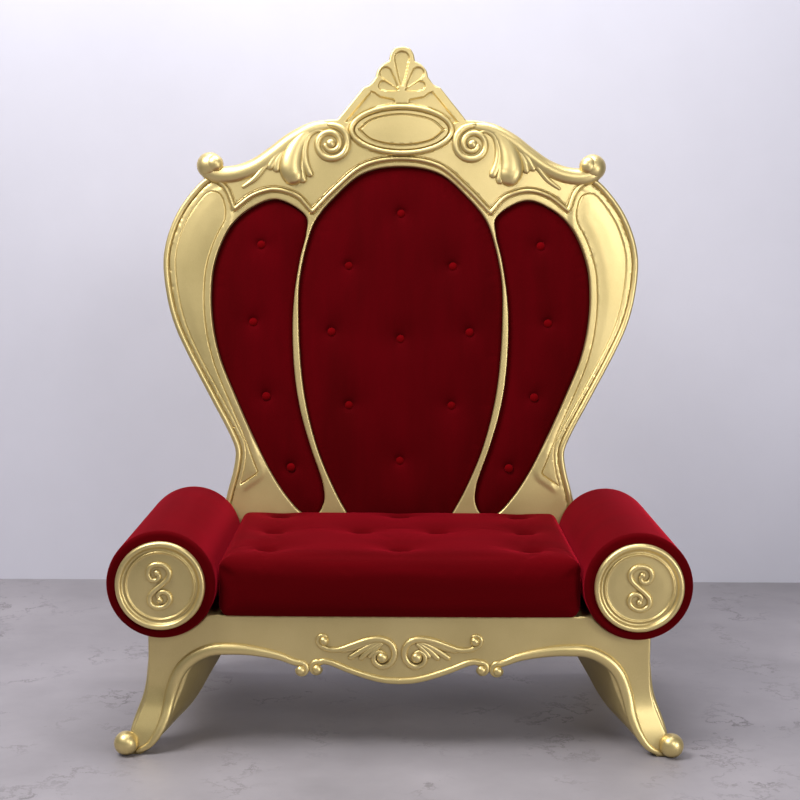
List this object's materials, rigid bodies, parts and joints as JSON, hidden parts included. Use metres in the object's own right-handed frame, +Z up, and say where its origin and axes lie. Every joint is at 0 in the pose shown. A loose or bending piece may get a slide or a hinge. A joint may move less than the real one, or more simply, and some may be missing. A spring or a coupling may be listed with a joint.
{
  "type": "throne",
  "caption": "Wide crowned throne: carved gilt frame on cabriole legs, velvet back pads, tufted seat cushion and round arm bolsters with scroll medallions.",
  "frame": {"origin": "centre of the bounding box's bottom, on the floor between the feet", "axes": "+Z up, the throne faces -Y, +X to its left arm as its sitter sees it, to the right as seen from the front"},
  "size_m": [1.5046, 0.9257, 1.885],
  "materials": {
    "gold": "satin metallic gold lacquer on carved or moulded work",
    "velvet": "deep red velvet, short pile",
    "button_velvet": "deep red velvet stretched over a button"
  },
  "bodies": {
    "root": {"arm_bolster_left": "velvet", "arm_bolster_right": "velvet", "arm_medallion_left": "gold", "arm_medallion_right": "gold", "back_button_center_1": "button_velvet", "back_button_center_2": "button_velvet", "back_button_center_3": "button_velvet", "back_button_center_4": "button_velvet", "back_button_center_5": "button_velvet", "back_button_center_6": "button_velvet", "back_button_center_7": "button_velvet", "back_button_center_8": "button_velvet", "back_button_center_9": "button_velvet", "back_button_left_1": "button_velvet", "back_button_left_2": "button_velvet", "back_button_left_3": "button_velvet", "back_button_left_4": "button_velvet", "back_button_right_1": "button_velvet", "back_button_right_2": "button_velvet", "back_button_right_3": "button_velvet", "back_button_right_4": "button_velvet", "back_frame": "gold", "back_pad_center": "velvet", "back_pad_left": "velvet", "back_pad_right": "velvet", "base_frame": "gold", "seat_button_1": "button_velvet", "seat_button_10": "button_velvet", "seat_button_2": "button_velvet", "seat_button_3": "button_velvet", "seat_button_4": "button_velvet", "seat_button_5": "button_velvet", "seat_button_6": "button_velvet", "seat_button_7": "button_velvet", "seat_button_8": "button_velvet", "seat_button_9": "button_velvet", "seat_cushion": "velvet"}
  },
  "joints": []
}
